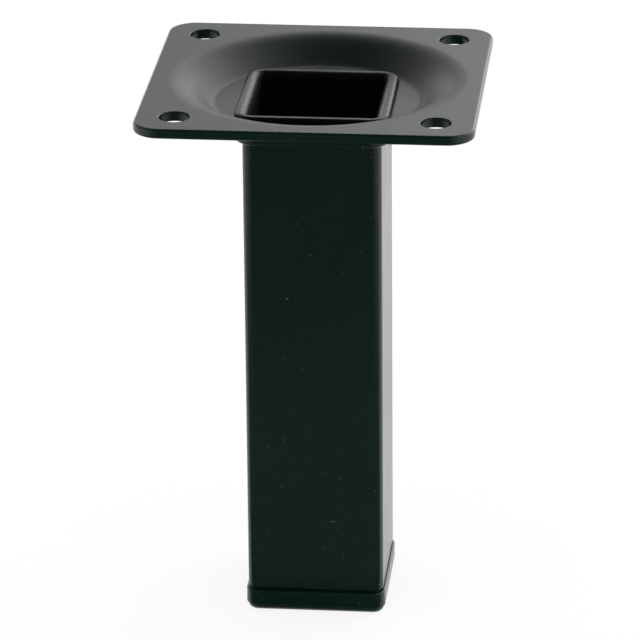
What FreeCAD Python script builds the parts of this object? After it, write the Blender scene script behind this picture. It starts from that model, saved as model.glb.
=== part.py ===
import FreeCAD, Part
import math
import os

import Sketcher

# Square metal table leg: a pressed steel mounting plate, a square steel tube that is flared over the
# plate's hole, and a moulded plastic glide in the tube's lower end.
# Frame: origin in the middle of the foot's underside, +Z up to the plate, millimetres.

SIZES = {
    # whole leg, from the floor to the top of the plate
    "leg_height": 100.0,
    # mounting plate: a square of sheet steel with rounded corners and plain screw holes
    "plate_width": 60.0,
    "plate_thickness": 1.8,
    "plate_corner_radius": 5.0,
    "plate_edge_chamfer": 0.4,
    "screw_hole_diameter": 5.5,
    "screw_hole_inset": 7.0,
    # round dish pressed into the plate: its wall is one S-shaped curve between the floor and the rim,
    # whose two handles are shares of the wall's run
    "dish_depth": 4.3,
    "dish_rim_land": 2.8,
    "dish_floor_margin": 0.15,
    "dish_rim_share": 0.53,
    "dish_floor_share": 0.25,
    # shift of the underside's handles, as a share of the sheet's thickness, that keeps the wall as thick
    "dish_under_share": 0.47,
    # square neck drawn down round the tube, below the dish's floor
    "neck_drop": 2.4,
    "neck_wall": 1.4,
    "neck_corner_extra": 1.0,
    "neck_end_chamfer": 0.5,
    "neck_fit": 0.1,
    # square tube, with its top end flared into a lip
    "tube_width": 25.0,
    "tube_wall": 1.2,
    "tube_inner_radius": 0.8,
    "tube_end_chamfer": 0.3,
    "lip_bend": 0.4,
    "lip_flat": 1.0,
    "lip_corner_extra": 0.4,
    "lip_edge_chamfer": 0.3,
    # plastic glide: a head that shows, with a slightly narrower bevelled sole
    "head_height": 4.1,
    "head_overhang": 0.35,
    "head_rim_chamfer": 0.25,
    "sole_inset": 0.3,
    "sole_side": 0.25,
    "sole_bevel": 0.9,
    # seat under the tube's end, narrower than the tube so that a shadow groove is left round it
    "seat_height": 0.35,
    "seat_bearing": 0.6,
    # hollow stem inside the tube, with rows of gripping fins on its four sides
    "stem_length": 15.0,
    "stem_wall": 1.8,
    "stem_lead_in": 0.7,
    "base_thickness": 2.4,
    "fin_reach": 1.6,
    "fin_length": 15.0,
    "fin_thickness": 0.9,
    "fin_first": 1.8,
    "fin_top_margin": 2.6,
    "fin_fit": 0.05,
}
SCREW_HOLE_COUNT = 4
FIN_ROWS = 3

# sizes that follow from the ones above, as expressions on the sheet
SEAT_TOP = "(Sizes.head_height + Sizes.seat_height)"
LIP_SEAT = "(Sizes.leg_height - Sizes.dish_depth)"
TUBE_CORNER = "(Sizes.tube_inner_radius + Sizes.tube_wall)"
BORE_WIDTH = "(Sizes.tube_width - 2 * Sizes.tube_wall)"
LIP_REACH = "(Sizes.lip_bend + Sizes.lip_flat)"
LIP_WIDTH = f"(Sizes.tube_width + 2 * {LIP_REACH})"
LIP_CORNER = f"({TUBE_CORNER} + {LIP_REACH} + Sizes.lip_corner_extra)"
LIP_DIAGONAL = f"({LIP_WIDTH} / sqrt(2) - {LIP_CORNER} * (sqrt(2) - 1))"
DISH_FLOOR = f"({LIP_DIAGONAL} + Sizes.dish_floor_margin)"
DISH_MOUTH = "(Sizes.plate_width / 2 - Sizes.dish_rim_land)"
BLANK_RADIUS = "Sizes.plate_width"
WASTE_RADIUS = "(2 * Sizes.plate_width)"
HOLE_PLACE = "(Sizes.plate_width / 2 - Sizes.screw_hole_inset)"
DISH_RUN = f"({DISH_MOUTH} - {DISH_FLOOR})"
DISH_UNDER_SHIFT = "(Sizes.dish_under_share * Sizes.plate_thickness)"
NECK_HOLE_WIDTH = "(Sizes.tube_width + 2 * Sizes.neck_fit)"
NECK_HOLE_CORNER = f"({TUBE_CORNER} + Sizes.neck_fit)"
NECK_WIDTH = f"({NECK_HOLE_WIDTH} + 2 * Sizes.neck_wall)"
NECK_CORNER = f"({NECK_HOLE_CORNER} + Sizes.neck_wall + Sizes.neck_corner_extra)"
HEAD_WIDTH = "(Sizes.tube_width + 2 * Sizes.head_overhang)"
HEAD_CORNER = f"({TUBE_CORNER} + Sizes.head_overhang)"
SOLE_HEIGHT = "(Sizes.sole_bevel + Sizes.sole_side)"
SEAT_WIDTH = f"({BORE_WIDTH} + 2 * Sizes.seat_bearing)"
FIN_SPREAD = f"({BORE_WIDTH} - 2 * Sizes.fin_fit)"
STEM_WIDTH = f"({FIN_SPREAD} - 2 * Sizes.fin_reach)"
CORE_WIDTH = f"({STEM_WIDTH} - 2 * Sizes.stem_wall)"
FIN_SPAN = "(Sizes.stem_length - Sizes.fin_first - Sizes.fin_thickness - Sizes.fin_top_margin)"

# an edge takes at most this share of a wall that it is cut from
EDGE_SHARE = 0.4

# two lengths that differ by less than this are the same
NEAR = 1e-4


def make_sheet(doc):
    sheet = doc.addObject("Spreadsheet::Sheet", "Sizes")
    for row, (alias, value) in enumerate(SIZES.items(), start=1):
        sheet.set(f"A{row}", alias.replace("_", " "))
        sheet.set(f"B{row}", str(value))
        sheet.setAlias(f"B{row}", alias)
    doc.recompute()


def make_body(doc, label, height):
    body = doc.addObject("PartDesign::Body", label)
    body.Label = label
    body.setExpression("Placement.Base.z", height)
    return body


def make_sketch(body, name, role, height="0"):
    plane = next(item for item in body.Origin.OriginFeatures if item.Role == role)
    sketch = body.newObject("Sketcher::SketchObject", name)
    sketch.AttachmentSupport = (plane, [""])
    sketch.MapMode = "FlatFace"
    sketch.setExpression("AttachmentOffset.Base.z", height)
    return sketch


def constrain(sketch, *terms):
    return sketch.addConstraint(Sketcher.Constraint(*terms))


def bind(sketch, name, expression, *terms):
    # a dimension that follows the sheet
    number = constrain(sketch, *terms, sketch.evalExpression(expression))
    sketch.renameConstraint(number, name)
    sketch.setExpression(f"Constraints.{name}", expression)


def add_circle(sketch, place, radius):
    # a circle whose centre lies on the diagonal
    centre = FreeCAD.Vector(place, place, 0)
    return sketch.addGeometry(Part.Circle(centre, FreeCAD.Vector(0, 0, 1), radius))


def rounded_square(body, name, width, corner, height="0"):
    # a square with rounded corners, centred on the body's axis
    sketch = make_sketch(body, name, "XY_Plane", height)
    up = FreeCAD.Vector(0, 0, 1)
    half = sketch.evalExpression(width) / 2
    radius = sketch.evalExpression(corner)
    reach = half - radius
    sides = []
    corners = []
    for quarter in range(4):
        turn = FreeCAD.Rotation(up, 90 * quarter)
        start = turn.multVec(FreeCAD.Vector(-reach, -half, 0))
        end = turn.multVec(FreeCAD.Vector(reach, -half, 0))
        circle = Part.Circle(turn.multVec(FreeCAD.Vector(reach, -reach, 0)), up, radius)
        first = math.radians(90 * (quarter - 1))
        sides.append(sketch.addGeometry(Part.LineSegment(start, end)))
        corners.append(sketch.addGeometry(Part.ArcOfCircle(circle, first, first + math.pi / 2)))
    for quarter in range(4):
        constrain(sketch, "Tangent", sides[quarter], 2, corners[quarter], 1)
        constrain(sketch, "Tangent", corners[quarter], 2, sides[(quarter + 1) % 4], 1)
        constrain(sketch, "Vertical" if quarter % 2 else "Horizontal", sides[quarter])
    for other in corners[1:]:
        constrain(sketch, "Equal", corners[0], other)
    constrain(sketch, "Equal", sides[0], sides[1])
    constrain(sketch, "Symmetric", corners[0], 3, corners[2], 3, -1, 1)
    bind(sketch, "width", width, "DistanceX", sides[3], 1, sides[1], 1)
    bind(sketch, "corner", corner, "Radius", corners[0])
    return sketch


def pad(body, name, sketch, length, down=False):
    feature = body.newObject("PartDesign::Pad", name)
    feature.Profile = sketch
    feature.Reversed = down
    feature.setExpression("Length", length)
    body.Document.recompute()
    return feature


def block(body, kind, name, along, across, tall, height):
    # a block added to the body or taken from it, centred on the axis and standing on the given height
    feature = body.newObject(f"PartDesign::{kind}", name)
    feature.setExpression("Length", along)
    feature.setExpression("Width", across)
    feature.setExpression("Height", tall)
    feature.setExpression("Placement.Base.x", f"-{along} / 2")
    feature.setExpression("Placement.Base.y", f"-{across} / 2")
    feature.setExpression("Placement.Base.z", height)
    body.Document.recompute()
    return feature


def cut_through(body, name, sketch):
    before = body.Shape.Volume
    pocket = body.newObject("PartDesign::Pocket", name)
    pocket.Profile = sketch
    pocket.SideType = "Two sides"
    pocket.Type = "ThroughAll"
    pocket.Type2 = "ThroughAll"
    body.Document.recompute()
    if body.Shape.Volume >= before:
        raise RuntimeError(f"{name} cuts nothing")
    return pocket


def square_edges(feature, half, level):
    # edges that follow a square of this half width, on the highest (max) or lowest (min) level that has any
    rings = {}
    for number, edge in enumerate(feature.Shape.Edges, start=1):
        points = [vertex.Point for vertex in edge.Vertexes]
        heights = [point.z for point in points]
        on_square = all(abs(max(abs(point.x), abs(point.y)) - half) < NEAR for point in points)
        if on_square and max(heights) - min(heights) < NEAR:
            rings.setdefault(round(heights[0], 3), []).append(f"Edge{number}")
    return rings[level(rings)]


def half_width(sketch):
    return sketch.getDatum("width").Value / 2


def dress(body, kind, name, base, edges, size):
    feature = body.newObject(f"PartDesign::{kind}", name)
    feature.Base = (base, edges)
    feature.setExpression("Size" if kind == "Chamfer" else "Radius", size)
    body.Document.recompute()
    return feature


def edge_size(name, *walls):
    limits = [f"{EDGE_SHARE} * Sizes.{wall}" for wall in walls]
    return f"min({'; '.join([f'Sizes.{name}'] + limits)})"


def dish_section(body):
    # half section of the pressed sheet, with the same three stretches on both sides: floor, wall and rim
    sketch = make_sketch(body, "DishSection", "XZ_Plane")
    floor_radius, mouth_radius, blank_radius, depth, thickness = (
        sketch.evalExpression(size)
        for size in (DISH_FLOOR, DISH_MOUTH, BLANK_RADIUS, "Sizes.dish_depth", "Sizes.plate_thickness")
    )

    def line(start, end):
        return sketch.addGeometry(Part.LineSegment(FreeCAD.Vector(*start), FreeCAD.Vector(*end)))

    floors = []
    rims = []
    for side, rim_height, shift in (("upper", 0.0, "0"), ("under", -thickness, DISH_UNDER_SHIFT)):
        floor_height = rim_height - depth
        floor_pull = f"Sizes.dish_floor_share * {DISH_RUN} + {shift}"
        rim_pull = f"Sizes.dish_rim_share * {DISH_RUN} - {shift}"
        poles = [
            FreeCAD.Vector(floor_radius, floor_height),
            FreeCAD.Vector(floor_radius + sketch.evalExpression(floor_pull), floor_height),
            FreeCAD.Vector(mouth_radius - sketch.evalExpression(rim_pull), rim_height),
            FreeCAD.Vector(mouth_radius, rim_height),
        ]
        floor = line((0, floor_height), poles[0])
        rim = line(poles[3], (blank_radius, rim_height))
        wall = sketch.addGeometry(Part.BSplineCurve(poles, None, None, False, 3, None, False))
        first = sketch.GeometryCount
        sketch.exposeInternalGeometry(wall)
        floor_end, floor_handle, rim_handle, rim_end = range(first, first + len(poles))
        constrain(sketch, "Coincident", floor, 2, wall, 1)
        constrain(sketch, "Coincident", rim, 1, wall, 2)
        constrain(sketch, "Horizontal", floor)
        constrain(sketch, "Horizontal", rim)
        constrain(sketch, "Horizontal", floor_end, 3, floor_handle, 3)
        constrain(sketch, "Horizontal", rim_end, 3, rim_handle, 3)
        bind(sketch, f"{side}_floor_pull", floor_pull, "DistanceX", floor_end, 3, floor_handle, 3)
        bind(sketch, f"{side}_rim_pull", rim_pull, "DistanceX", rim_handle, 3, rim_end, 3)
        bind(sketch, f"{side}_floor", DISH_FLOOR, "DistanceX", -1, 1, floor, 2)
        bind(sketch, f"{side}_mouth", DISH_MOUTH, "DistanceX", -1, 1, rim, 1)
        floors.append(floor)
        rims.append(rim)

    axis = line((0, -depth - thickness), (0, -depth))
    edge = line((blank_radius, -thickness), (blank_radius, 0))
    for side in range(2):
        constrain(sketch, "Coincident", axis, 2 - side, floors[side], 1)
        constrain(sketch, "Coincident", edge, 2 - side, rims[side], 2)
        constrain(sketch, "PointOnObject", floors[side], 1, -2)
    constrain(sketch, "PointOnObject", rims[0], 1, -1)
    constrain(sketch, "Vertical", edge)
    bind(sketch, "depth", "Sizes.dish_depth", "DistanceY", floors[0], 1, -1, 1)
    bind(sketch, "floor_thickness", "Sizes.plate_thickness", "DistanceY", axis, 1, axis, 2)
    bind(sketch, "rim_thickness", "Sizes.plate_thickness", "DistanceY", edge, 1, edge, 2)
    bind(sketch, "blank", BLANK_RADIUS, "DistanceX", -1, 1, rims[0], 2)
    return sketch


def make_mounting_plate(doc):
    # the plate's own frame has its top face at zero
    body = make_body(doc, "mounting_plate", "Sizes.leg_height")

    section = dish_section(body)
    blank = body.newObject("PartDesign::Revolution", "DishedBlank")
    blank.Profile = section
    blank.ReferenceAxis = (section, ["V_Axis"])
    doc.recompute()

    # the round blank is trimmed to a square with rounded corners
    outline = rounded_square(body, "Outline", "Sizes.plate_width", "Sizes.plate_corner_radius")
    waste = add_circle(outline, 0, outline.evalExpression(WASTE_RADIUS))
    constrain(outline, "Coincident", waste, 3, -1, 1)
    bind(outline, "waste", WASTE_RADIUS, "Radius", waste)
    trimmed = cut_through(body, "Trim", outline)
    half = half_width(outline)
    edges = square_edges(trimmed, half, max) + square_edges(trimmed, half, min)
    size = edge_size("plate_edge_chamfer", "plate_thickness")
    dress(body, "Chamfer", "PlateEdges", trimmed, edges, size)

    # the neck starts inside the dish's floor and is drawn out below it
    neck = rounded_square(body, "NeckOutside", NECK_WIDTH, NECK_CORNER, "-Sizes.dish_depth")
    pad(body, "Neck", neck, "Sizes.plate_thickness + Sizes.neck_drop", down=True)
    hole = rounded_square(body, "NeckHole", NECK_HOLE_WIDTH, NECK_HOLE_CORNER)
    pierced = cut_through(body, "NeckOpening", hole)
    entry_edges = square_edges(pierced, half_width(hole), max)
    entered = dress(body, "Chamfer", "NeckEntry", pierced, entry_edges, "Sizes.lip_bend + Sizes.neck_fit")
    end_size = edge_size("neck_end_chamfer", "neck_wall", "neck_drop")
    dress(body, "Chamfer", "NeckEnd", entered, square_edges(entered, half_width(neck), min), end_size)

    # one screw hole, repeated round the plate
    screw_hole = make_sketch(body, "ScrewHole", "XY_Plane")
    place = screw_hole.evalExpression(HOLE_PLACE)
    ring = add_circle(screw_hole, place, screw_hole.evalExpression("Sizes.screw_hole_diameter") / 2)
    bind(screw_hole, "along", HOLE_PLACE, "DistanceX", -1, 1, ring, 3)
    bind(screw_hole, "across", HOLE_PLACE, "DistanceY", -1, 1, ring, 3)
    bind(screw_hole, "diameter", "Sizes.screw_hole_diameter", "Diameter", ring)
    punched = cut_through(body, "ScrewHoleCut", screw_hole)
    pattern = body.newObject("PartDesign::PolarPattern", "ScrewHoles")
    pattern.Originals = [punched]
    pattern.Axis = (screw_hole, ["N_Axis"])
    pattern.Occurrences = SCREW_HOLE_COUNT
    body.Tip = pattern
    return body


def make_square_tube(doc):
    # the tube's own frame has the underside of its lip at zero
    body = make_body(doc, "square_tube", LIP_SEAT)

    outside = rounded_square(body, "TubeOutside", "Sizes.tube_width", TUBE_CORNER)
    pad(body, "Tube", outside, f"{LIP_SEAT} - {SEAT_TOP}", down=True)
    lip = rounded_square(body, "LipOutside", LIP_WIDTH, LIP_CORNER)
    pad(body, "Lip", lip, "Sizes.tube_wall")
    bore = rounded_square(body, "Bore", BORE_WIDTH, "Sizes.tube_inner_radius")
    bored = cut_through(body, "BoreCut", bore)

    # the wall turns outwards into the lip, with a wide round bend in its mouth
    under_edges = square_edges(bored, half_width(outside), max)
    under = dress(body, "Chamfer", "FlareUnder", bored, under_edges, "Sizes.lip_bend")
    mouth_edges = square_edges(under, half_width(bore), max)
    mouth = dress(body, "Fillet", "FlareMouth", under, mouth_edges, "Sizes.lip_bend + Sizes.tube_wall")
    lip_size = edge_size("lip_edge_chamfer", "tube_wall", "lip_flat")
    lipped = dress(body, "Chamfer", "LipEdge", mouth, square_edges(mouth, half_width(lip), max), lip_size)
    end_size = edge_size("tube_end_chamfer", "tube_wall")
    dress(body, "Chamfer", "TubeEnd", lipped, square_edges(lipped, half_width(outside), min), end_size)
    return body


def make_foot_plug(doc):
    body = make_body(doc, "foot_plug", "0")

    sole_width = f"{HEAD_WIDTH} - 2 * Sizes.sole_inset"
    sole = rounded_square(body, "SoleOutside", sole_width, f"{HEAD_CORNER} - Sizes.sole_inset")
    slab = pad(body, "Sole", sole, SOLE_HEIGHT)
    dress(body, "Chamfer", "SoleBevel", slab, square_edges(slab, half_width(sole), min), "Sizes.sole_bevel")
    head = rounded_square(body, "HeadOutside", HEAD_WIDTH, HEAD_CORNER, SOLE_HEIGHT)
    band = pad(body, "Head", head, f"Sizes.head_height - {SOLE_HEIGHT}")
    rim_size = edge_size("head_rim_chamfer", "head_height")
    dress(body, "Chamfer", "HeadRim", band, square_edges(band, half_width(head), max), rim_size)

    block(body, "AdditiveBox", "Seat", SEAT_WIDTH, SEAT_WIDTH, "Sizes.seat_height", "Sizes.head_height")
    stem = block(body, "AdditiveBox", "Stem", STEM_WIDTH, STEM_WIDTH, "Sizes.stem_length", SEAT_TOP)
    stem_edges = square_edges(stem, stem.Length.Value / 2, max)
    dress(body, "Chamfer", "StemLeadIn", stem, stem_edges, edge_size("stem_lead_in", "stem_wall"))

    # each row has a fin on every side: two crossed slats that reach the tube's wall
    fin_height = f"{SEAT_TOP} + Sizes.fin_first"
    fin_size = "Sizes.fin_thickness"
    slats = [
        block(body, "AdditiveBox", "FinAlong", FIN_SPREAD, "Sizes.fin_length", fin_size, fin_height),
        block(body, "AdditiveBox", "FinAcross", "Sizes.fin_length", FIN_SPREAD, fin_size, fin_height),
    ]
    axis = next(item for item in body.Origin.OriginFeatures if item.Role == "Z_Axis")
    fins = body.newObject("PartDesign::LinearPattern", "FinRows")
    fins.Originals = slats
    fins.Direction = (axis, [""])
    fins.setExpression("Length", FIN_SPAN)
    fins.Occurrences = FIN_ROWS
    body.Tip = fins
    doc.recompute()

    core_length = f"{SEAT_TOP} + Sizes.stem_length - Sizes.base_thickness"
    block(body, "SubtractiveBox", "Core", CORE_WIDTH, CORE_WIDTH, core_length, "Sizes.base_thickness")
    return body


def check_document(doc, bodies):
    for item in doc.Objects:
        if "Invalid" in item.State or "Error" in item.State:
            raise RuntimeError(f"{item.Label} failed: {item.State}")
    for body in bodies:
        shape = body.Shape
        if shape.isNull() or not shape.isValid() or len(shape.Solids) != 1:
            raise RuntimeError(f"{body.Label} has no sound solid")


def main():
    doc = FreeCAD.newDocument("SquareTableLeg")
    make_sheet(doc)
    bodies = [make_mounting_plate(doc), make_square_tube(doc), make_foot_plug(doc)]
    doc.recompute()
    check_document(doc, bodies)
    os.makedirs("parts", exist_ok=True)
    for body in bodies:
        body.Shape.exportStep(f"parts/{body.Label}.step")
        box = body.Shape.BoundBox
        print(f"{body.Label}: {body.Shape.Volume:.1f} mm3, from {box.ZMin:.3f} to {box.ZMax:.3f}")


main()
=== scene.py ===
import math

import bmesh
import bpy
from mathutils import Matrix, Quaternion, Vector


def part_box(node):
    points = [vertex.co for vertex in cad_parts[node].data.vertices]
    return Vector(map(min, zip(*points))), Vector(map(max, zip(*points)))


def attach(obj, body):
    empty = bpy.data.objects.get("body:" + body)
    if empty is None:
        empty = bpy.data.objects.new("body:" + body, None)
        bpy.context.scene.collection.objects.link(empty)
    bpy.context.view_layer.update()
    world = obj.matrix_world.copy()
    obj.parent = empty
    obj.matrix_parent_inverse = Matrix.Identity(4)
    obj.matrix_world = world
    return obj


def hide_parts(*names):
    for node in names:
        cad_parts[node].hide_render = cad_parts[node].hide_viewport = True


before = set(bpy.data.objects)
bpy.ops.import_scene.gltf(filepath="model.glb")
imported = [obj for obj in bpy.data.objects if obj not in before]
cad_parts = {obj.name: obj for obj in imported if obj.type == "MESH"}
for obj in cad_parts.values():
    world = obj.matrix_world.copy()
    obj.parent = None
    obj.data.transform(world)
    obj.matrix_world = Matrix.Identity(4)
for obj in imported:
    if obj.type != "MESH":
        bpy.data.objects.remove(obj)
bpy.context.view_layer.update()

MM = 0.001

# Fineness of the meshes
CORNER_STEPS = 31
RING_POINTS = 4 * (CORNER_STEPS + 1)
DISH_STEPS = 22
EDGE_STEPS = 5
FINE_EDGE_STEPS = 3
SOLE_STEPS = 6
MOUTH_STEPS = 10
# Width of the strip beside a rounded edge that keeps the flat next to it flat
HOLD = 0.06 * MM
# Points this near to a ring count as on it, and points nearer than MERGE as one point
SAME_PLACE = 0.02 * MM
MERGE = 0.002 * MM
SMOOTH_BELOW = math.radians(50)
# Faces whose normal rises less than this count as upright
UPRIGHT_SLOPE = 0.1

# Sizes read from the frame
plate_low, plate_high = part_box("mounting_plate")
tube_low, tube_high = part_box("square_tube")
plug_low, plug_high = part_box("foot_plug")
PLATE_WIDTH = plate_high.x - plate_low.x
PLATE_TOP = plate_high.z
NECK_END = plate_low.z
LIP_WIDTH = tube_high.x - tube_low.x
LIP_TOP = tube_high.z
TUBE_END = tube_low.z
HEAD_WIDTH = plug_high.x - plug_low.x
SOLE = plug_low.z
STEM_TOP = plug_high.z

# Sizes of the tube and its flared lip
TUBE_WIDTH = 25.0 * MM
TUBE_WALL = 1.2 * MM
TUBE_CORNER = 2.0 * MM
TUBE_EDGE = 0.3 * MM
BORE_WIDTH = TUBE_WIDTH - 2 * TUBE_WALL
BORE_CORNER = TUBE_CORNER - TUBE_WALL
LIP_BEND = 0.4 * MM
LIP_CORNER = 3.8 * MM
LIP_MOUTH = LIP_BEND + TUBE_WALL
LIP_EDGE = 0.65 * MM
LIP_UNDER_EDGE = 0.3 * MM

# Sizes of the pressed plate, its dish and its drawn neck
SHEET = 1.8 * MM
PLATE_CORNER = 5.0 * MM
PLATE_EDGE = 0.45 * MM
PLATE_UNDER = PLATE_TOP - SHEET
HOLE_RADIUS = 2.75 * MM
HOLE_INSET = 7.0 * MM
HOLE_PLACE = PLATE_WIDTH / 2 - HOLE_INSET
HOLE_EDGE = 0.2 * MM
HOLE_LOW_EDGE = 0.1 * MM
DISH_DEPTH = 4.3 * MM
DISH_FLOOR = PLATE_TOP - DISH_DEPTH
DISH_UNDER = DISH_FLOOR - SHEET
DISH_RIM_LAND = 2.8 * MM
DISH_MOUTH_RADIUS = PLATE_WIDTH / 2 - DISH_RIM_LAND
DISH_FLOOR_RADIUS = 18.234 * MM
DISH_RIM_SHARE = 0.53
DISH_FLOOR_SHARE = 0.25
DISH_UNDER_SHIFT = 0.47 * SHEET
NECK_FIT = 0.1 * MM
NECK_WALL = 1.4 * MM
NECK_HOLE = TUBE_WIDTH + 2 * NECK_FIT
NECK_HOLE_CORNER = TUBE_CORNER + NECK_FIT
NECK_WIDTH = NECK_HOLE + 2 * NECK_WALL
NECK_CORNER = 4.5 * MM
NECK_EDGE = 0.5 * MM
NECK_ENTRY = 0.5 * MM
NECK_ROOT = 0.15 * MM

# Sizes of the glide
HEAD_CORNER = 2.35 * MM
HEAD_TOP = SOLE + 4.1 * MM
HEAD_EDGE = 0.25 * MM
HEAD_LOW_EDGE = 0.1 * MM
SOLE_INSET = 0.3 * MM
SOLE_WIDTH = HEAD_WIDTH - 2 * SOLE_INSET
SOLE_CORNER = HEAD_CORNER - SOLE_INSET
SOLE_TOP = SOLE + 1.15 * MM
SOLE_ROUND = 0.9 * MM
SEAT_WIDTH = 23.8 * MM
SEAT_CORNER = 1.2 * MM
FIN_REACH = 1.6 * MM
FIN_FIT = 0.05 * MM
FIN_HALF_LENGTH = 7.5 * MM
FIN_THICKNESS = 0.9 * MM
FIN_FIRST = TUBE_END + 1.8 * MM
FIN_SPACING = 4.85 * MM
FIN_ROWS = 3
STEM_WIDTH = BORE_WIDTH - 2 * FIN_FIT - 2 * FIN_REACH
STEM_CORNER = 0.3 * MM
STEM_LEAD_IN = 0.7 * MM
STEM_WALL = 1.8 * MM
CORE_WIDTH = STEM_WIDTH - 2 * STEM_WALL
CORE_FLOOR = SOLE + 2.4 * MM

# Where the finishes change. The slope is the upward part of a face's normal
EDGE_COAT_SLOPE = 0.9
# Depth below the lip's top over which the crest's coat fades into the duller coat with painted shade
PAINTED_SHADE_BELOW_CREST = (0.05 * MM, 0.7 * MM)
WALL_DULL_INSIDE = (17.5 * MM, 20.0 * MM)
WALL_DULL_OUTSIDE = (24.0 * MM, 27.5 * MM)

# Colours of the finishes and the stage. A pair runs from its darkest to its lightest
PLATE_BLACK = ((0.0006, 0.0062, 0.0040, 1), (0.0014, 0.0100, 0.0064, 1))
TUBE_BLACK = ((0.0008, 0.0085, 0.0050, 1), (0.0018, 0.0130, 0.0080, 1))
LIP_BLACK = ((0.0003, 0.0007, 0.0005, 1), (0.0010, 0.0018, 0.0014, 1))
# Painted shade: the darker colour below the lip's crest and in the bore
PAINTED_SHADE_BLACK = ((0.0004, 0.0008, 0.0006, 1), (0.0012, 0.0018, 0.0015, 1))
PLASTIC_BLACK = ((0.0007, 0.0110, 0.0054, 1), (0.0016, 0.0165, 0.0084, 1))
DUST = (0.16, 0.16, 0.15, 1)
CARD_SHADES = ((0.025, 0.03, 0.028, 1), (0.16, 0.18, 0.17, 1))
WHITE = (1, 1, 1, 1)
FLOOR_PAINT = (0.9, 0.9, 0.9, 1)
LAMP_COLOUR = (1.0, 0.97, 1.0)

# Variation in the finishes
CLOUD_DULLNESS = 0.07
GRAIN_SHARE = 0.12
DUST_ABOVE = 0.795
DUST_STRENGTH = 0.6
DUST_DULLNESS = 0.3
PLASTIC_DUST_ABOVE = 0.80
PLASTIC_DUST_STRENGTH = 0.5
SMOOTH_RIPPLE = 0.02 * MM
LIP_RIPPLE = 0.45 * MM
# Relief and roughness of the duller coat below the lip's crest, whose colour is painted shade
DULL_COAT_RELIEF = 0.03 * MM
DULL_COAT_ROUGHNESS = 0.55
DULL_COAT_UNEVENNESS = 0.2
PLASTIC_RELIEF = 0.015 * MM
PLASTIC_ROUGHNESS = 0.18
PLASTIC_UNEVENNESS = 0.10

# Places of the colours among a Mix node's sockets
FIRST_COLOUR = 6
SECOND_COLOUR = 7
MIXED_COLOUR = 2

# The floor, and the card before the leg
FLOOR_SIZE = 6.0
FLOOR_DROP = 0.05 * MM
FLOOR_WHITENESS = 0.85
CARD_SIZE = 4.0
CARD_DROP = 0.02 * MM
CARD_SIDE_EDGES = (0.10, 0.35)
CARD_NEAR_EDGE = (12.6 * MM, 13.4 * MM)
CARD_FAR_EDGE = (1.2, 2.0)
CARD_BAND_START = (19 * MM, 30 * MM)
CARD_BAND_END = (0.10, 0.18)
CARD_BAND_FALL = 0.65
CARD_SLANT = 0.1
CARD_LIGHTER_SIDES = (6 * MM, 18 * MM)
CARD_SIDE_LIGHT = 0.3

# Directions in the white surroundings, as slopes: sideways or backwards for each unit upwards
LEAST_RISE = 0.05
GAP_TO_LEFT = 0.25
GAP_SIDES = (0.38, 0.98)
GAP_BACK = (0.4, 1.7)
DIM_LEFT_START = (0.4, 1.2)
DIM_LEFT_BACK = (0.8, 2.2)
DIM_LEFT_SHARE = 0.5
# How directly a ray runs to the front
DARK_FRONT = (0.45, 0.85)

# Camera
VIEWPOINT = Vector((78.8, -788.9, 371.0)) * MM
VIEW_TARGET = Vector((0.1, 0, 53.1)) * MM
CAMERA_LEAN = math.radians(-0.5)
LENS = 262.4
SENSOR_WIDTH = 36.0
NEAREST_SEEN = 10 * MM


# Modelling helpers


def begin(name):
    """A new empty mesh object, in edit mode, with nothing else selected."""
    bpy.ops.object.select_all(action="DESELECT")
    bpy.ops.mesh.primitive_plane_add(size=1)
    piece = bpy.context.object
    piece.name = name
    piece.data.name = name
    bpy.ops.object.mode_set(mode="EDIT")
    bpy.ops.mesh.select_all(action="SELECT")
    bpy.ops.mesh.delete(type="VERT")
    return piece


def square_ring(width, corner, height):
    """Draws a square outline with rounded corners, and returns a test for the points on it."""
    bpy.ops.mesh.select_mode(type="VERT")
    bpy.ops.mesh.select_all(action="DESELECT")
    bpy.ops.mesh.primitive_plane_add(size=width, location=(0, 0, height))
    bpy.ops.mesh.bevel(offset=corner, segments=CORNER_STEPS, affect="VERTICES")
    bpy.ops.mesh.delete(type="ONLY_FACE")
    return on_square(width, corner, height)


def on_square(width, corner, height):
    """A test for points on a square outline with rounded corners."""
    def test(v):
        past_x = max(abs(v.co.x) - width / 2 + corner, 0)
        past_y = max(abs(v.co.y) - width / 2 + corner, 0)
        off_outline = abs(math.hypot(past_x, past_y) - corner)
        return off_outline < SAME_PLACE and abs(v.co.z - height) < SAME_PLACE
    return test


def round_ring(radius, height, middle=(0, 0)):
    """Draws a circle with as many points as a square outline has, and returns a test for its points."""
    bpy.ops.mesh.select_mode(type="VERT")
    bpy.ops.mesh.select_all(action="DESELECT")
    half_step = math.pi / RING_POINTS
    bpy.ops.mesh.primitive_circle_add(
        vertices=RING_POINTS, radius=radius, location=(*middle, height), rotation=(0, 0, half_step))

    def test(v):
        off_circle = abs(math.hypot(v.co.x - middle[0], v.co.y - middle[1]) - radius)
        return off_circle < SAME_PLACE and abs(v.co.z - height) < SAME_PLACE
    return test


def quarter_round(size, steps=EDGE_STEPS):
    """The (distance from the wall, distance from the face) of points round an edge, from face to wall.

    One more point on the face and one on the wall hold the two flat where the round begins."""
    angles = [math.pi / 2 * step / steps for step in range(steps + 1)]
    turn = [(size * (1 - math.sin(a)), size * (1 - math.cos(a))) for a in angles]
    return [(size + HOLD, 0)] + turn + [(0, size + HOLD)]


def pick_edges(*rings):
    """Selects the edges that run along these rings, and no others."""
    bpy.ops.mesh.select_mode(type="EDGE")
    bpy.ops.mesh.select_all(action="DESELECT")
    mesh = bmesh.from_edit_mesh(bpy.context.object.data)
    for on_ring in rings:
        along = {v for v in mesh.verts if on_ring(v)}
        for edge in mesh.edges:
            if edge.verts[0] in along and edge.verts[1] in along:
                edge.select = True
    mesh.select_flush_mode()
    bmesh.update_edit_mesh(bpy.context.object.data)


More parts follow.
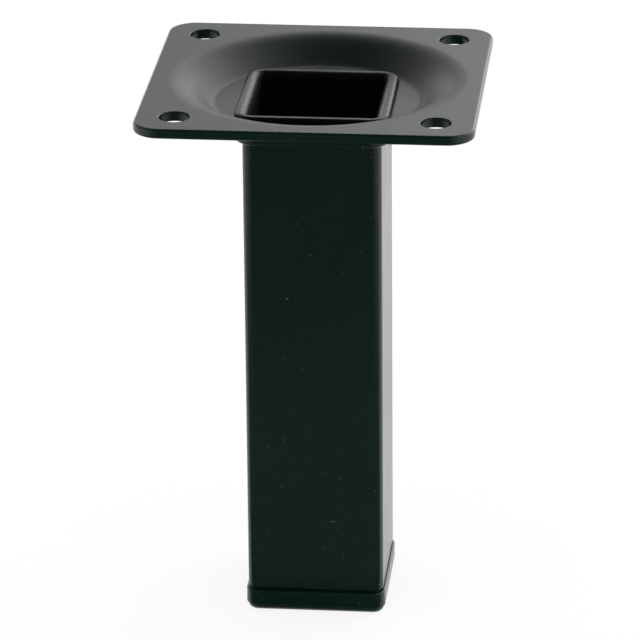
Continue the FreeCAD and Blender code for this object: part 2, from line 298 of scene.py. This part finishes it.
def ring_points(mesh, on_ring):
    """A ring's points in order round its middle."""
    points = [v for v in mesh.verts if on_ring(v)]
    middle = sum((v.co for v in points), Vector()) / len(points)
    return sorted(points, key=lambda v: math.atan2(v.co.y - middle.y, v.co.x - middle.x))


def join_rings(rings, closed=False):
    """Joins each ring to the next, and the last to the first where the section is closed."""
    mesh = bmesh.from_edit_mesh(bpy.context.object.data)
    loops = [ring_points(mesh, on_ring) for on_ring in rings]
    following = loops[1:] + loops[:1] if closed else loops[1:]
    for first, second in zip(loops, following):
        for i in range(RING_POINTS):
            mesh.faces.new((first[i - 1], first[i], second[i], second[i - 1]))
    bmesh.update_edit_mesh(bpy.context.object.data)


def fill_flat(*rings):
    """Fills the flat between an outer ring and the rings inside it."""
    pick_edges(*rings)
    bpy.ops.mesh.fill(use_beauty=True)


def apply_modifier(piece, kind, **settings):
    """Adds a modifier to the piece and applies it."""
    bpy.ops.object.select_all(action="DESELECT")
    piece.select_set(True)
    bpy.context.view_layer.objects.active = piece
    modifier = piece.modifiers.new(kind.title(), kind)
    for name, value in settings.items():
        setattr(modifier, name, value)
    bpy.ops.object.modifier_apply(modifier=modifier.name)


def end(piece, node, finish):
    """Closes the piece's mesh, smooths its shading and puts it in the place of its CAD node."""
    bpy.ops.object.mode_set(mode="EDIT")
    bpy.ops.mesh.select_all(action="SELECT")
    bpy.ops.mesh.remove_doubles(threshold=MERGE)
    bpy.ops.mesh.normals_make_consistent(inside=False)
    bpy.ops.object.mode_set(mode="OBJECT")
    bpy.ops.object.shade_smooth_by_angle(angle=SMOOTH_BELOW)
    apply_modifier(piece, "WEIGHTED_NORMAL", keep_sharp=True)
    piece.data.materials.clear()
    piece.data.materials.append(finish)
    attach(piece, "root")
    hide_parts(node)


# Pieces


def s_curve(points, share):
    """A point of the dish wall's curve, from four (radius, height) handles."""
    weights = ((1 - share) ** 3, 3 * share * (1 - share) ** 2, 3 * share ** 2 * (1 - share), share ** 3)
    return [sum(w * p[i] for w, p in zip(weights, points)) for i in (0, 1)]


def dish_rings(floor, rim, shift):
    """The circles of one side of the dish wall, from its floor up to its mouth."""
    run = DISH_MOUTH_RADIUS - DISH_FLOOR_RADIUS
    handles = [
        (DISH_FLOOR_RADIUS, floor),
        (DISH_FLOOR_RADIUS + DISH_FLOOR_SHARE * run + shift, floor),
        (DISH_MOUTH_RADIUS - DISH_RIM_SHARE * run + shift, rim),
        (DISH_MOUTH_RADIUS, rim),
    ]
    return [round_ring(*s_curve(handles, step / DISH_STEPS)) for step in range(DISH_STEPS + 1)]


def plate_edge():
    """The rim's outer wall, rounded above and below. Returns the rings where it meets the two faces."""
    over = [square_ring(PLATE_WIDTH - 2 * inset, PLATE_CORNER - inset, PLATE_TOP - drop)
            for inset, drop in quarter_round(PLATE_EDGE)]
    below = [square_ring(PLATE_WIDTH - 2 * inset, PLATE_CORNER - inset, PLATE_UNDER + rise)
             for inset, rise in quarter_round(PLATE_EDGE)]
    join_rings(over + below[::-1])
    return over[0], below[0]


def screw_hole(middle):
    """One hole's wall, rounded above and below. Returns the rings where it meets the two faces."""
    over = [round_ring(HOLE_RADIUS + inset, PLATE_TOP - drop, middle)
            for inset, drop in quarter_round(HOLE_EDGE)]
    below = [round_ring(HOLE_RADIUS + inset, PLATE_UNDER + rise, middle)
             for inset, rise in quarter_round(HOLE_LOW_EDGE)]
    join_rings(over + below[::-1])
    return over[0], below[0]


def drawn_neck():
    """The neck's inner and outer wall. Returns the rings where it meets the dish's floor."""
    entry = [square_ring(NECK_HOLE + 2 * inset, NECK_HOLE_CORNER + inset, DISH_FLOOR - drop)
             for inset, drop in quarter_round(NECK_ENTRY)]
    bottom = [square_ring(NECK_HOLE, NECK_HOLE_CORNER, NECK_END)]
    bottom += [square_ring(NECK_WIDTH - 2 * inset, NECK_CORNER - inset, NECK_END + rise)
               for inset, rise in quarter_round(NECK_EDGE)]
    root = [square_ring(NECK_WIDTH + 2 * inset, NECK_CORNER + inset, DISH_UNDER - drop)
            for inset, drop in quarter_round(NECK_ROOT)]
    join_rings(entry + bottom + root[::-1])
    return entry[0], root[0]


def make_mounting_plate(finish, edge_finish):
    """The pressed plate: flat rim, round dish, and the square neck drawn through the dish's floor.

    The cut edges, the holes' walls and the neck have a glossier coat than the faces."""
    plate = begin("mounting_plate_pressed")
    upper_wall = dish_rings(DISH_FLOOR, PLATE_TOP, 0)
    lower_wall = dish_rings(DISH_UNDER, PLATE_UNDER, DISH_UNDER_SHIFT)
    join_rings(upper_wall)
    join_rings(lower_wall)
    neck_entry, neck_root = drawn_neck()
    fill_flat(upper_wall[0], neck_entry)
    fill_flat(lower_wall[0], neck_root)
    openings = [plate_edge()]
    openings += [screw_hole((x * HOLE_PLACE, y * HOLE_PLACE)) for x in (-1, 1) for y in (-1, 1)]
    fill_flat(upper_wall[-1], *[over for over, below in openings])
    fill_flat(lower_wall[-1], *[below for over, below in openings])
    end(plate, "mounting_plate", finish)
    plate.data.materials.append(edge_finish)
    for face in plate.data.polygons:
        beyond_dish = math.hypot(face.center.x, face.center.y) > DISH_MOUTH_RADIUS
        on_neck = face.center.z < DISH_UNDER
        if on_neck or beyond_dish and abs(face.normal.z) < EDGE_COAT_SLOPE:
            face.material_index = 1


def make_square_tube(finish, lip_finish):
    """The tube, with its top end flared out into a lip, and a coat of their own on lip and bore, with
    painted shade below the lip's crest and in the bore.
    """
    tube = begin("square_tube_flared")
    foot = [square_ring(TUBE_WIDTH - 2 * inset, TUBE_CORNER - inset, TUBE_END + rise)
            for inset, rise in quarter_round(TUBE_EDGE)]
    bend = [square_ring(TUBE_WIDTH + 2 * reach, TUBE_CORNER + reach, DISH_FLOOR - drop)
            for reach, drop in quarter_round(LIP_BEND)]
    lip_under = [square_ring(LIP_WIDTH - 2 * inset, LIP_CORNER - inset, DISH_FLOOR + rise)
                 for inset, rise in quarter_round(LIP_UNDER_EDGE)]
    lip_over = [square_ring(LIP_WIDTH - 2 * inset, LIP_CORNER - inset, LIP_TOP - drop)
                for inset, drop in quarter_round(LIP_EDGE)]
    mouth = [square_ring(BORE_WIDTH + 2 * reach, BORE_CORNER + reach, LIP_TOP - drop)
             for reach, drop in quarter_round(LIP_MOUTH, MOUTH_STEPS)]
    bore_end = [square_ring(BORE_WIDTH, BORE_CORNER, TUBE_END)]
    join_rings(foot + bend[::-1] + lip_under + lip_over[::-1] + mouth + bore_end, closed=True)
    end(tube, "square_tube", finish)
    tube.data.materials.append(lip_finish)
    # Lip and bore take the lip coat, with painted shade below the crest and in the bore
    for face in tube.data.polygons:
        inward = face.normal.dot(Vector((face.center.x, face.center.y, 0))) < 0
        if inward or face.center.z > DISH_FLOOR - LIP_BEND:
            face.material_index = 1


def cut_across(point, normal):
    """Adds an edge where a plane crosses the stem's sides."""
    bpy.ops.mesh.select_mode(type="FACE")
    bpy.ops.mesh.select_all(action="DESELECT")
    mesh = bmesh.from_edit_mesh(bpy.context.object.data)
    for face in mesh.faces:
        middle = face.calc_center_median()
        outside = max(abs(middle.x), abs(middle.y)) > STEM_WIDTH / 2 - STEM_LEAD_IN
        if outside and TUBE_END < middle.z < STEM_TOP and abs(face.normal.z) < UPRIGHT_SLOPE:
            face.select = True
    bpy.ops.mesh.bisect(plane_co=point, plane_no=normal)


def raise_fins():
    """Draws the gripping fins out of the stem's four sides."""
    for row in range(FIN_ROWS):
        low = FIN_FIRST + row * FIN_SPACING
        for height in (low, low + FIN_THICKNESS):
            cut_across((0, 0, height), (0, 0, 1))
    for side in (-FIN_HALF_LENGTH, FIN_HALF_LENGTH):
        cut_across((side, 0, 0), (1, 0, 0))
        cut_across((0, side, 0), (0, 1, 0))
    for out_x, out_y in ((1, 0), (-1, 0), (0, 1), (0, -1)):
        bpy.ops.mesh.select_mode(type="FACE")
        bpy.ops.mesh.select_all(action="DESELECT")
        mesh = bmesh.from_edit_mesh(bpy.context.object.data)
        outward = Vector((out_x, out_y, 0))
        for face in mesh.faces:
            middle = face.calc_center_median()
            above = (middle.z - FIN_FIRST) % FIN_SPACING
            row = (middle.z - FIN_FIRST) // FIN_SPACING
            along = abs(middle.y if out_x else middle.x)
            on_wall = abs(middle.dot(outward) - STEM_WIDTH / 2) < SAME_PLACE
            if on_wall and along < FIN_HALF_LENGTH and 0 <= row < FIN_ROWS and above < FIN_THICKNESS:
                face.select = True
        bpy.ops.mesh.extrude_region_move(
            TRANSFORM_OT_translate={"value": tuple(outward * FIN_REACH)})


def make_foot_plug(finish):
    """The moulded glide: sole, head, the seat under the tube's end, hollow stem and fins."""
    plug = begin("foot_plug_moulded")
    sole = [square_ring(SOLE_WIDTH - 2 * inset, SOLE_CORNER - inset, SOLE + rise)
            for inset, rise in quarter_round(SOLE_ROUND, SOLE_STEPS)]
    sole.append(square_ring(SOLE_WIDTH, SOLE_CORNER, SOLE_TOP))
    head_low = [square_ring(HEAD_WIDTH - 2 * inset, HEAD_CORNER - inset, SOLE_TOP + rise)
                for inset, rise in quarter_round(HEAD_LOW_EDGE, FINE_EDGE_STEPS)]
    head_top = [square_ring(HEAD_WIDTH - 2 * inset, HEAD_CORNER - inset, HEAD_TOP - drop)
                for inset, drop in quarter_round(HEAD_EDGE)]
    stem = [
        square_ring(SEAT_WIDTH, SEAT_CORNER, HEAD_TOP),
        square_ring(SEAT_WIDTH, SEAT_CORNER, TUBE_END),
        square_ring(STEM_WIDTH, STEM_CORNER, TUBE_END),
        square_ring(STEM_WIDTH, STEM_CORNER, STEM_TOP - STEM_LEAD_IN),
        square_ring(STEM_WIDTH - 2 * STEM_LEAD_IN, STEM_CORNER, STEM_TOP),
        square_ring(CORE_WIDTH, STEM_CORNER, STEM_TOP),
        square_ring(CORE_WIDTH, STEM_CORNER, CORE_FLOOR),
    ]
    join_rings(sole + head_low + head_top[::-1] + stem)
    fill_flat(sole[0])
    fill_flat(stem[-1])
    raise_fins()
    end(plug, "foot_plug", finish)


# Shader maths


class Signal:
    """One output of a node, so that shader maths can be written as Python."""

    def __init__(self, tree, socket):
        self.tree = tree
        self.socket = socket

    def math(self, operation, first, second):
        return add_node(self.tree, "ShaderNodeMath", {"operation": operation}, {0: first, 1: second})

    def __add__(self, other):
        return self.math("ADD", self, other)

    def __radd__(self, other):
        return self.math("ADD", other, self)

    def __sub__(self, other):
        return self.math("SUBTRACT", self, other)

    def __rsub__(self, other):
        return self.math("SUBTRACT", other, self)

    def __mul__(self, other):
        return self.math("MULTIPLY", self, other)

    def __rmul__(self, other):
        return self.math("MULTIPLY", other, self)

    def __truediv__(self, other):
        return self.math("DIVIDE", self, other)

    def size(self):
        return self.math("ABSOLUTE", self, 0)

    def above(self, limit):
        return self.math("GREATER_THAN", self, limit)

    def highest(self, other):
        return self.math("MAXIMUM", self, other)

    def fade(self, start, stop):
        """0 up to start, 1 from stop, and smooth between them."""
        return add_node(self.tree, "ShaderNodeMapRange", {"interpolation_type": "SMOOTHSTEP"}, {
            "Value": self, "From Min": start, "From Max": stop, "To Min": 0.0, "To Max": 1.0})


def add_node(tree, kind, settings=None, sockets=None, output=0):
    """Adds a node, sets it, feeds its sockets with values or signals, and returns one output."""
    node = tree.nodes.new(kind)
    for name, value in (settings or {}).items():
        setattr(node, name, value)
    for name, value in (sockets or {}).items():
        if isinstance(value, Signal):
            tree.links.new(value.socket, node.inputs[name])
        else:
            node.inputs[name].default_value = value
    return Signal(tree, node.outputs[output])


def new_material(name):
    """A material with an empty node tree."""
    material = bpy.data.materials.new(name)
    material.use_nodes = True
    material.node_tree.nodes.clear()
    return material


def close_material(material, surface):
    """Puts a shader on the material's output."""
    output = material.node_tree.nodes.new("ShaderNodeOutputMaterial")
    material.node_tree.links.new(surface.socket, output.inputs["Surface"])


# Finishes


def object_noise(tree, cycles_per_mm, detail, roughness=0.5, offset=(0, 0, 0)):
    """Noise fixed to the piece, at a scale given in cycles for each millimetre."""
    place = add_node(tree, "ShaderNodeTexCoord", output="Object")
    moved = add_node(tree, "ShaderNodeMapping", None, {"Vector": place, "Location": offset})
    return add_node(tree, "ShaderNodeTexNoise", None, {
        "Vector": moved, "Scale": cycles_per_mm / MM, "Detail": detail, "Roughness": roughness})


def place_on_piece(tree, axis):
    """One coordinate of the point, fixed to the piece."""
    place = add_node(tree, "ShaderNodeTexCoord", output="Object")
    return add_node(tree, "ShaderNodeSeparateXYZ", None, {0: place}, output=axis)


def off_axis(tree):
    """How far a point lies from the leg's axis."""
    place = add_node(tree, "ShaderNodeTexCoord", output="Object")
    flat = add_node(tree, "ShaderNodeMapping", None, {"Vector": place, "Scale": (1, 1, 0)})
    return add_node(tree, "ShaderNodeVectorMath", {"operation": "LENGTH"}, {0: flat}, output="Value")


def stretched_wall(tree):
    """1 on the dish's wall, where the sheet was stretched, and 0 on the flats."""
    radius = off_axis(tree)
    return radius.fade(*WALL_DULL_INSIDE) * (1 - radius.fade(*WALL_DULL_OUTSIDE))


def mixed_colour(tree, share, first, second):
    """A colour between two others."""
    return add_node(tree, "ShaderNodeMix", {"data_type": "RGBA"}, {
        "Factor": share, FIRST_COLOUR: first, SECOND_COLOUR: second}, output=MIXED_COLOUR)


def raised(tree, height, depth, strength):
    """A normal for relief of this height, drawn as shading."""
    return add_node(tree, "ShaderNodeBump", None, {
        "Strength": strength, "Distance": depth, "Height": height})


def coat_surface(tree, blacks, roughness, ripple_depth, wall_dullness=0, ior=1.47):
    """Smooth semi-gloss black coating on steel, with a faint ripple and a little dust."""
    cloud = object_noise(tree, cycles_per_mm=0.06, detail=4.0)
    ripple = object_noise(tree, cycles_per_mm=0.55, detail=2.0, offset=(0.01, 0.02, 0.03))
    grain = object_noise(tree, cycles_per_mm=6.0, detail=2.0)
    specks = object_noise(tree, cycles_per_mm=2.2, detail=1.0, offset=(0.05, 0.01, 0.02))
    dust = specks.above(DUST_ABOVE)
    colour = mixed_colour(tree, cloud, *blacks)
    dullness = roughness - CLOUD_DULLNESS / 2 + cloud * CLOUD_DULLNESS + dust * DUST_DULLNESS
    if wall_dullness:
        dullness = dullness + stretched_wall(tree) * wall_dullness
    return add_node(tree, "ShaderNodeBsdfPrincipled", None, {
        "Base Color": mixed_colour(tree, dust * DUST_STRENGTH, colour, DUST),
        "Roughness": dullness,
        "IOR": ior,
        "Normal": raised(tree, ripple + grain * GRAIN_SHARE, ripple_depth, strength=0.25)})


def black_coat(name, **look):
    """A material of the black coating."""
    material = new_material(name)
    close_material(material, coat_surface(material.node_tree, **look))
    return material


def lip_coat():
    """The coating on the lip's crest, which fades below it and in the bore into a duller coat whose
    darker colour is painted shade.
    """
    material = new_material("lip_coat")
    tree = material.node_tree
    crest = coat_surface(tree, LIP_BLACK, roughness=0.30, ripple_depth=LIP_RIPPLE, ior=1.37)
    cloud = object_noise(tree, cycles_per_mm=0.2, detail=4.0)
    speckle = object_noise(tree, cycles_per_mm=4.0, detail=3.0, roughness=0.6)
    # Duller coat, painted darker as shade below the crest and in the bore
    dull_coat_and_painted_shade = add_node(tree, "ShaderNodeBsdfPrincipled", None, {
        "Base Color": mixed_colour(tree, cloud, *PAINTED_SHADE_BLACK),
        "Roughness": DULL_COAT_ROUGHNESS + speckle * DULL_COAT_UNEVENNESS,
        "IOR": 1.15,
        "Normal": raised(tree, speckle, DULL_COAT_RELIEF, strength=0.5)})
    # Share of the painted shade, rising with depth below the lip's top
    painted_shade_share = (LIP_TOP - place_on_piece(tree, "Z")).fade(*PAINTED_SHADE_BELOW_CREST)
    surface = add_node(tree, "ShaderNodeMixShader", None, {0: painted_shade_share, 1: crest, 2: dull_coat_and_painted_shade})
    close_material(material, surface)
    return material


def black_plastic():
    """Black moulded plastic with a fine satin texture and a little dust."""
    material = new_material("black_plastic")
    tree = material.node_tree
    cloud = object_noise(tree, cycles_per_mm=0.1, detail=4.0)
    texture = object_noise(tree, cycles_per_mm=3.2, detail=3.0, roughness=0.6)
    specks = object_noise(tree, cycles_per_mm=2.0, detail=1.0, offset=(0.03, 0.02, 0.05))
    dust = specks.above(PLASTIC_DUST_ABOVE)
    colour = mixed_colour(tree, cloud, *PLASTIC_BLACK)
    surface = add_node(tree, "ShaderNodeBsdfPrincipled", None, {
        "Base Color": mixed_colour(tree, dust * PLASTIC_DUST_STRENGTH, colour, DUST),
        "Roughness": PLASTIC_ROUGHNESS + texture * PLASTIC_UNEVENNESS,
        "IOR": 1.48,
        "Normal": raised(tree, texture, PLASTIC_RELIEF, strength=0.35)})
    close_material(material, surface)
    return material


# Stage


def stage_plane(name, size, drop, material):
    """A flat sheet of the stage, just below the sole."""
    bpy.ops.object.select_all(action="DESELECT")
    bpy.ops.mesh.primitive_plane_add(size=size, location=(0, 0, SOLE - drop))
    plane = bpy.context.object
    plane.name = name
    plane.data.materials.append(material)
    return plane


def background_rays(tree):
    """1 for what the camera sees, directly, mirrored or through glass, and 0 for light on things."""
    seen = add_node(tree, "ShaderNodeLightPath", output="Is Camera Ray")
    mirrored = add_node(tree, "ShaderNodeLightPath", output="Is Glossy Ray")
    through = add_node(tree, "ShaderNodeLightPath", output="Is Transmission Ray")
    return seen.highest(mirrored).highest(through)


def white_floor():
    """A pale floor that shows white, and keeps a soft shadow under the leg."""
    material = new_material("white_floor")
    tree = material.node_tree
    lit = add_node(tree, "ShaderNodeBsdfDiffuse", None, {"Color": FLOOR_PAINT})
    white = add_node(tree, "ShaderNodeEmission", None, {"Color": WHITE, "Strength": 1.0})
    whiteness = background_rays(tree) * FLOOR_WHITENESS
    surface = add_node(tree, "ShaderNodeMixShader", None, {0: whiteness, 1: lit, 2: white})
    close_material(material, surface)
    floor = stage_plane("floor", FLOOR_SIZE, FLOOR_DROP, material)


def front_card():
    """A dark studio card on the floor before the leg, which only shows in reflections.

    It is darkest right before the foot, a little lighter to the sides, and lightest in a band beyond."""
    material = new_material("dark_card")
    tree = material.node_tree
    across = place_on_piece(tree, "X")
    ahead = 0 - place_on_piece(tree, "Y")
    card_width = 1 - across.size().fade(*CARD_SIDE_EDGES)
    card_start = ahead.fade(*CARD_NEAR_EDGE)
    card_end = 1 - ahead.fade(*CARD_FAR_EDGE)
    sides = (across + ahead * CARD_SLANT).size().fade(*CARD_LIGHTER_SIDES) * CARD_SIDE_LIGHT
    band = ahead.fade(*CARD_BAND_START) * (1 - ahead.fade(*CARD_BAND_END) * CARD_BAND_FALL)
    shade = mixed_colour(tree, band.highest(sides), *CARD_SHADES)
    dark = add_node(tree, "ShaderNodeEmission", None, {"Color": shade, "Strength": 1.0})
    clear = add_node(tree, "ShaderNodeBsdfTransparent")
    surface = add_node(tree, "ShaderNodeMixShader", None, {
        0: card_width * card_start * card_end, 1: clear, 2: dark})
    close_material(material, surface)
    card = stage_plane("front_card", CARD_SIZE, CARD_DROP, material)
    card.visible_camera = False
    card.visible_diffuse = False
    card.visible_shadow = False
    card.visible_transmission = False
    card.visible_volume_scatter = False


def white_studio():
    """White surroundings. Mirrored rays alone see a dark gap overhead, a dark front and a dim left."""
    world = bpy.data.worlds.new("white_studio")
    bpy.context.scene.world = world
    world.use_nodes = True
    tree = world.node_tree
    tree.nodes.clear()
    way = add_node(tree, "ShaderNodeTexCoord", output="Generated")
    across = add_node(tree, "ShaderNodeSeparateXYZ", None, {0: way}, output="X")
    along = add_node(tree, "ShaderNodeSeparateXYZ", None, {0: way}, output="Y")
    up = add_node(tree, "ShaderNodeSeparateXYZ", None, {0: way}, output="Z").highest(LEAST_RISE)
    sideways = across / up
    backwards = along / up
    gap_width = 1 - (sideways + GAP_TO_LEFT).size().fade(*GAP_SIDES)
    overhead = gap_width * (1 - backwards.fade(*GAP_BACK))
    front = (0 - along).fade(*DARK_FRONT)
    left = (0 - sideways).fade(*DIM_LEFT_START) * (1 - backwards.fade(*DIM_LEFT_BACK)) * DIM_LEFT_SHARE
    mirrored = add_node(tree, "ShaderNodeLightPath", output="Is Glossy Ray")
    strength = 1 - overhead.highest(left).highest(front) * mirrored
    sky = add_node(tree, "ShaderNodeBackground", None, {"Color": WHITE, "Strength": strength})
    output = tree.nodes.new("ShaderNodeOutputWorld")
    tree.links.new(sky.socket, output.inputs["Surface"])


def soft_lamp(name, place, width, height, watts):
    """A wide soft lamp that faces the plate."""
    lamp = bpy.data.objects.new(name, bpy.data.lights.new(name, "AREA"))
    bpy.context.scene.collection.objects.link(lamp)
    lamp.data.shape = "RECTANGLE"
    lamp.data.size = width
    lamp.data.size_y = height
    lamp.data.energy = watts
    lamp.data.color = LAMP_COLOUR
    lamp.location = place
    aim = Vector((0, 0, PLATE_TOP)) - lamp.location
    lamp.rotation_euler = aim.to_track_quat("-Z", "Y").to_euler()


def place_camera():
    """The camera stands at the photograph's own viewpoint and is aimed at the leg's axis."""
    camera = bpy.data.objects.new("camera", bpy.data.cameras.new("camera"))
    bpy.context.scene.collection.objects.link(camera)
    camera.location = VIEWPOINT
    aim = (VIEW_TARGET - VIEWPOINT).to_track_quat("-Z", "Y")
    camera.rotation_euler = (aim @ Quaternion((0, 0, 1), CAMERA_LEAN)).to_euler()
    camera.data.sensor_width = SENSOR_WIDTH
    camera.data.lens = LENS
    camera.data.clip_start = NEAREST_SEEN
    bpy.context.scene.camera = camera


# The leg and its stage
plate_coat = black_coat(
    "plate_coat", blacks=PLATE_BLACK, roughness=0.38, ripple_depth=SMOOTH_RIPPLE, wall_dullness=0.07)
edge_coat = black_coat("edge_coat", blacks=TUBE_BLACK, roughness=0.2, ripple_depth=SMOOTH_RIPPLE)
tube_coat = black_coat("tube_coat", blacks=TUBE_BLACK, roughness=0.22, ripple_depth=SMOOTH_RIPPLE)
make_mounting_plate(plate_coat, edge_coat)
make_square_tube(tube_coat, lip_coat())
make_foot_plug(black_plastic())
white_floor()
front_card()
white_studio()
soft_lamp("right_lamp", place=(0.69, 0.83, 0.63), width=1.9, height=1.1, watts=9.5)
soft_lamp("left_lamp", place=(-0.72, 0.92, 0.29), width=1.0, height=0.35, watts=0.95)
place_camera()
bpy.context.scene.view_settings.view_transform = "Standard"
